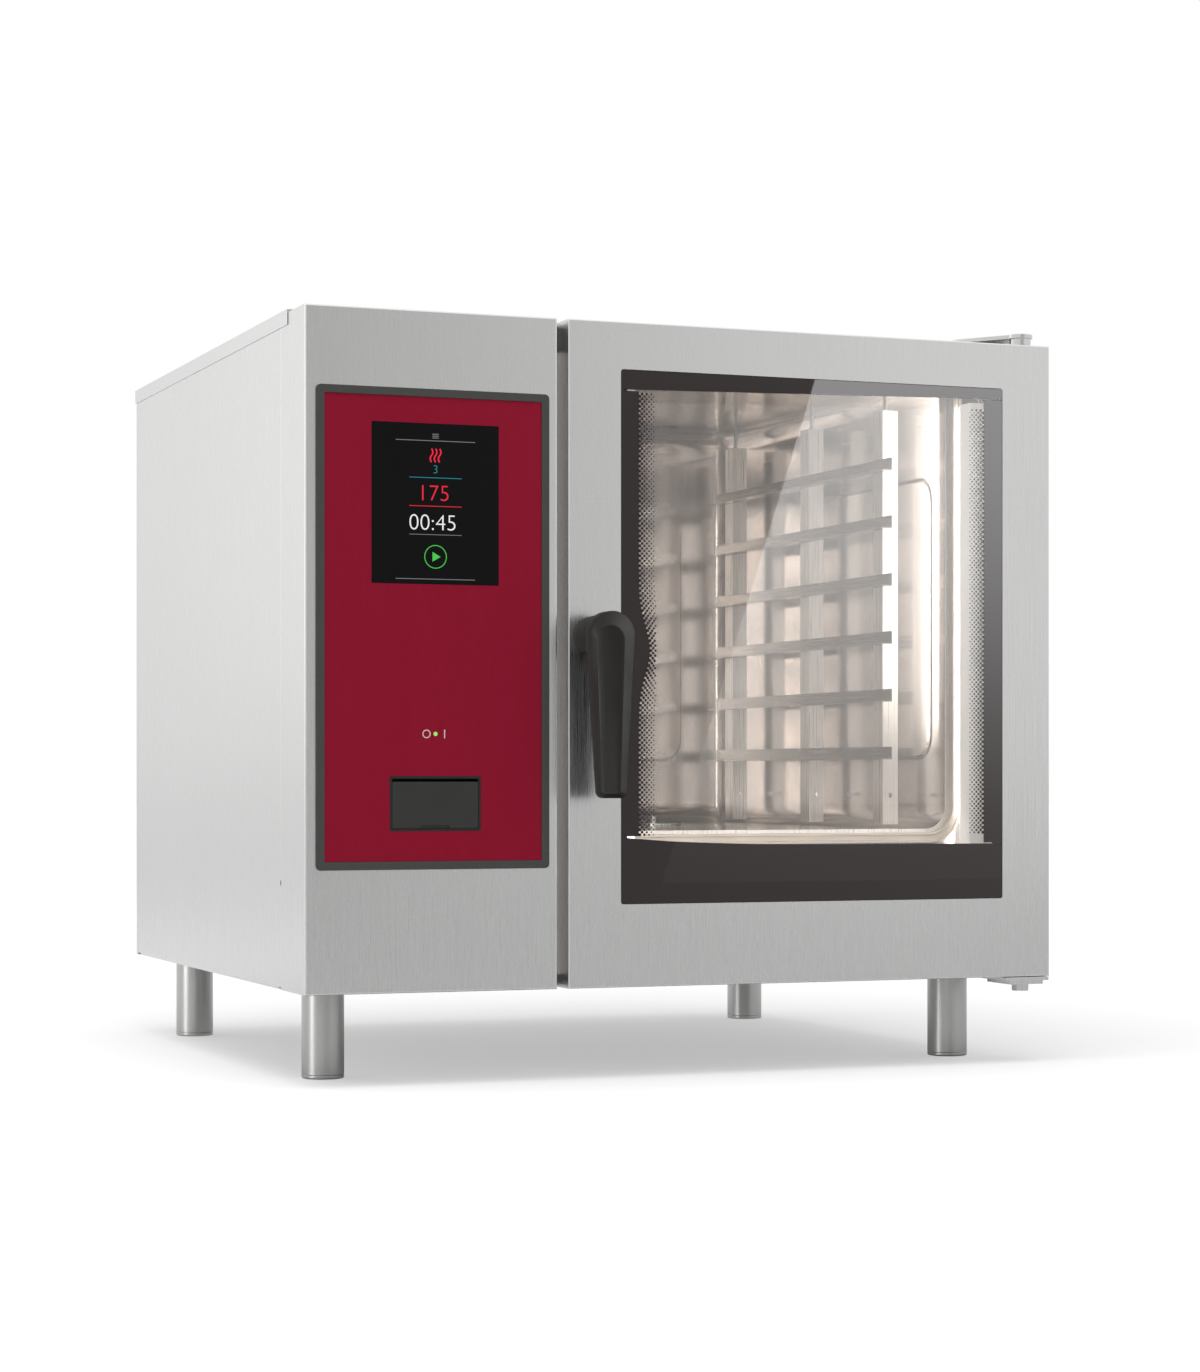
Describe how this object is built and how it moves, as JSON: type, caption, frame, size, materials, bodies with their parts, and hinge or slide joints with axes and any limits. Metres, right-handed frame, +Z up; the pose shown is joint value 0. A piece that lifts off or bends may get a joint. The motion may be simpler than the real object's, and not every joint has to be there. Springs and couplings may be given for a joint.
{
  "type": "combi steamer oven",
  "caption": "Free-standing combi steamer on legs: stainless casing, red control panel at left, glazed right-hung door with lever handle, tray racks and fan inside.",
  "frame": {"origin": "on the floor, under the middle of the oven's outer box", "axes": "+X to the right as seen from the front, +Y to the back, +Z up"},
  "size_m": [0.8816, 0.892, 0.8497],
  "materials": {
    "casing_steel": "fine vertical brushed grain",
    "chamber_steel": "bright cold-rolled, lightly heat tinted",
    "fitting_steel": "plain bright fittings",
    "bezel_plastic": "satin dark grey moulding",
    "red_glass": "glossy glass printed red on its back",
    "display_glass": "glossy black screen",
    "lamp_green": "clear lens over a green lamp",
    "black_plastic": "fine textured black moulding",
    "flap_plastic": "satin dark grey moulding",
    "board_green": "solder resist with fitted parts",
    "wool": "pressed mineral wool slab",
    "seal_rubber": "soft black silicone",
    "motor_paint": "grey baked enamel",
    "heater_steel": "heat-browned sheathed rod",
    "pipe_copper": "drawn tube and pressed brass",
    "terminal_plastic": "pale insulating moulding",
    "clear_glass": "clear toughened pane",
    "light_metal": "extruded trough",
    "diffuser_plastic": "opal cover over a warm lamp strip",
    "handle_plastic": "fine grained black grip"
  },
  "bodies": {
    "cabinet": {"base_pan": "casing_steel", "left_side_panel": "casing_steel", "right_side_panel": "casing_steel", "rear_panel": "casing_steel", "top_cover": "casing_steel", "control_fascia": "casing_steel", "leg_tubes": "casing_steel", "hinge_top_plate": "casing_steel", "hinge_bottom_bracket": "casing_steel", "front_frame": "chamber_steel", "cavity_liner": "chamber_steel", "fan_baffle": "chamber_steel", "casing_screws": "fitting_steel", "rack_hooks": "fitting_steel", "drain_trap": "fitting_steel", "drain_pipe": "fitting_steel", "vent_pipe": "fitting_steel", "latch_keeper": "fitting_steel", "control_bezel": "bezel_plastic", "control_glass": "red_glass", "touch_display": "display_glass", "power_lamp": "lamp_green", "usb_socket": "black_plastic", "cable_gland": "black_plastic", "cooling_fan_housing": "black_plastic", "door_switch": "black_plastic", "control_board": "board_green", "power_board": "board_green", "cavity_insulation": "wool", "door_gasket": "seal_rubber", "fan_motor": "motor_paint", "heating_element": "heater_steel", "steam_pipe": "pipe_copper", "water_valve": "pipe_copper", "terminal_block": "terminal_plastic"},
    "door": {"door_frame": "casing_steel", "outer_glass": "clear_glass", "glass_seal": "seal_rubber", "door_liner": "chamber_steel", "inner_glass": "clear_glass", "inner_glass_clips": "fitting_steel", "light_bars": "light_metal", "light_diffusers": "diffuser_plastic", "door_bushes": "pipe_copper"},
    "handle": {"handle_lever": "handle_plastic", "handle_spindle": "fitting_steel"},
    "flap": {"usb_flap": "flap_plastic"},
    "fan": {"fan_wheel": "fitting_steel", "fan_shaft": "fitting_steel"},
    "cooling_fan": {"cooling_fan_wheel": "black_plastic"},
    "left_rack": {"rack_left_posts": "chamber_steel", "rack_left_rails": "chamber_steel"},
    "right_rack": {"rack_right_posts": "chamber_steel", "rack_right_rails": "chamber_steel"},
    "strainer": {"drain_strainer": "chamber_steel"},
    "damper": {"vent_damper": "fitting_steel"},
    "front_left_foot": {"foot_front_left": "casing_steel"},
    "front_right_foot": {"foot_front_right": "casing_steel"},
    "rear_left_foot": {"foot_rear_left": "casing_steel"},
    "rear_right_foot": {"foot_rear_right": "casing_steel"}
  },
  "joints": [
    {"name": "door_hinge", "type": "hinge", "parent": "cabinet", "child": "door", "pos_m": [0.41375, -0.364, 0.458], "axis": [0, 0, 1], "range_deg": [0, 120]},
    {"name": "handle_turn", "type": "hinge", "parent": "door", "child": "handle", "pos_m": [-0.11615, -0.424, 0.477], "axis": [0, 1, 0], "range_deg": [-60, 60], "stiffness_Nm_per_rad": 1.2},
    {"name": "flap_hinge", "type": "hinge", "parent": "cabinet", "child": "flap", "pos_m": [-0.29695, -0.383, 0.3192], "axis": [-1, 0, 0], "range_deg": [0, 100]},
    {"name": "fan_spin", "type": "hinge", "parent": "cabinet", "child": "fan", "pos_m": [-0.09825, 0.016, 0.525], "axis": [1, 0, 0], "continuous": true},
    {"name": "cooling_fan_spin", "type": "hinge", "parent": "cabinet", "child": "cooling_fan", "pos_m": [-0.26925, 0.4, 0.518], "axis": [0, 1, 0], "continuous": true},
    {"name": "left_rack_lift", "type": "slide", "parent": "cabinet", "child": "left_rack", "axis": [0, 0, 1], "range_m": [0, 0.012]},
    {"name": "right_rack_lift", "type": "slide", "parent": "cabinet", "child": "right_rack", "axis": [0, 0, 1], "range_m": [0, 0.012]},
    {"name": "strainer_lift", "type": "slide", "parent": "cabinet", "child": "strainer", "axis": [0, 0, 1], "range_m": [0, 0.04]},
    {"name": "damper_turn", "type": "hinge", "parent": "cabinet", "child": "damper", "pos_m": [0.22075, 0.256, 0.813], "axis": [1, 0, 0], "range_deg": [0, 90]},
    {"name": "front_left_foot_screw", "type": "slide", "parent": "cabinet", "child": "front_left_foot", "axis": [0, 0, -1], "range_m": [0, 0.02]},
    {"name": "front_right_foot_screw", "type": "slide", "parent": "cabinet", "child": "front_right_foot", "axis": [0, 0, -1], "range_m": [0, 0.02]},
    {"name": "rear_left_foot_screw", "type": "slide", "parent": "cabinet", "child": "rear_left_foot", "axis": [0, 0, -1], "range_m": [0, 0.02]},
    {"name": "rear_right_foot_screw", "type": "slide", "parent": "cabinet", "child": "rear_right_foot", "axis": [0, 0, -1], "range_m": [0, 0.02]}
  ]
}
